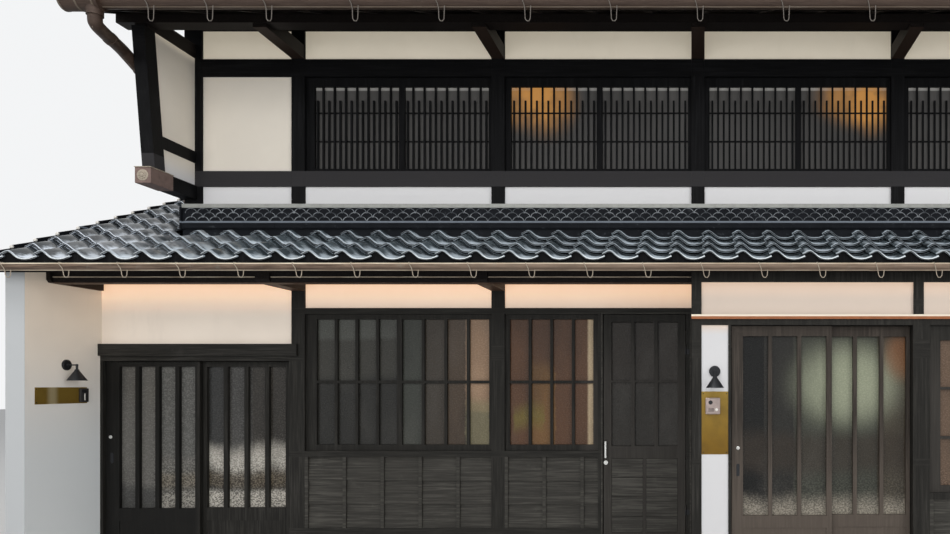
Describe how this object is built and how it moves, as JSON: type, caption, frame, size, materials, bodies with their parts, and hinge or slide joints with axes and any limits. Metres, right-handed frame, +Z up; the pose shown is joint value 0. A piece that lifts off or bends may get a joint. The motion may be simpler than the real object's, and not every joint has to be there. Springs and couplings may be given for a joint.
{
  "type": "townhouse",
  "caption": "Timber row house with a low upper storey behind fine lattices, glazed tile roofs, sliding and hinged street doors and white plaster walls.",
  "frame": {"origin": "middle of the plan at ground level, on the underside of the floor slab", "axes": "+X along the street front to the right as seen from the street, +Y from the street into the house, +Z up"},
  "size_m": [9.392, 9.484, 6.954],
  "materials": {
    "black_timber": "near-black stain, dull",
    "charcoal_timber": "charcoal stain, dull",
    "eave_timber": "dark stain, weathered",
    "plain_timber": "sawn, unpainted",
    "white_plaster": "matt off-white plaster",
    "side_plaster": "matt cool white plaster",
    "stone": "dressed stone and concrete",
    "glazed_tile": "glossy blue-black glaze",
    "brown_copper": "brown weathered sheet",
    "copper": "dull copper sheet",
    "brass": "aged brass sheet",
    "dull_metal": "grey enamel",
    "dark_steel": "dark enamel",
    "steel": "brushed",
    "patterned_glass": "hammered pattern",
    "upper_glass": "plain, dark room behind"
  },
  "bodies": {
    "house": {"floor_slab": "stone", "thresholds": "charcoal_timber", "street_frame": "charcoal_timber", "bay_frame": "charcoal_timber", "copper_strip": "copper", "lower_plaster": "white_plaster", "dado_boards": "charcoal_timber", "street_sashes": "charcoal_timber", "rear_sashes": "charcoal_timber", "lower_glass": "patterned_glass", "upper_street_frame": "black_timber", "rear_frame": "charcoal_timber", "upper_plaster": "white_plaster", "upper_lattices": "black_timber", "upper_glass": "upper_glass", "floor_beams": "plain_timber", "upper_floor": "plain_timber", "party_walls": "side_plaster", "upper_left_wall": "side_plaster", "pent_deck": "eave_timber", "main_deck": "eave_timber", "eave_purlins": "eave_timber", "wing_frame": "black_timber", "head_band": "glazed_tile", "flashing": "dull_metal", "pent_tiles": "glazed_tile", "main_tiles": "glazed_tile", "ridges": "glazed_tile", "gutters": "brown_copper", "downpipe": "brown_copper", "side_hinges": "dark_steel", "brass_plates": "brass", "door_devices": "dull_metal", "wall_lamps": "dark_steel"},
    "left_leaf_a": {"left_door_a": "charcoal_timber", "left_door_a_glass": "patterned_glass"},
    "left_leaf_b": {"left_door_b": "charcoal_timber", "left_door_b_glass": "patterned_glass"},
    "entry_leaf_a": {"entry_door_a": "charcoal_timber", "entry_door_a_glass": "patterned_glass"},
    "entry_leaf_b": {"entry_door_b": "charcoal_timber", "entry_door_b_glass": "patterned_glass"},
    "side_leaf": {"side_door": "charcoal_timber", "side_door_glass": "patterned_glass", "side_door_pull": "steel"}
  },
  "joints": [
    {"name": "left_slide_a", "type": "slide", "parent": "house", "child": "left_leaf_a", "axis": [1, 0, 0], "range_m": [0, 0.827]},
    {"name": "left_slide_b", "type": "slide", "parent": "house", "child": "left_leaf_b", "axis": [-1, 0, 0], "range_m": [0, 0.841]},
    {"name": "entry_slide_a", "type": "slide", "parent": "house", "child": "entry_leaf_a", "axis": [1, 0, 0], "range_m": [0, 0.651]},
    {"name": "entry_slide_b", "type": "slide", "parent": "house", "child": "entry_leaf_b", "axis": [-1, 0, 0], "range_m": [0, 0.768]},
    {"name": "side_swing", "type": "hinge", "parent": "house", "child": "side_leaf", "pos_m": [0.7975, -3.643, 1], "axis": [0, 0, 1], "range_deg": [0, 90]}
  ]
}
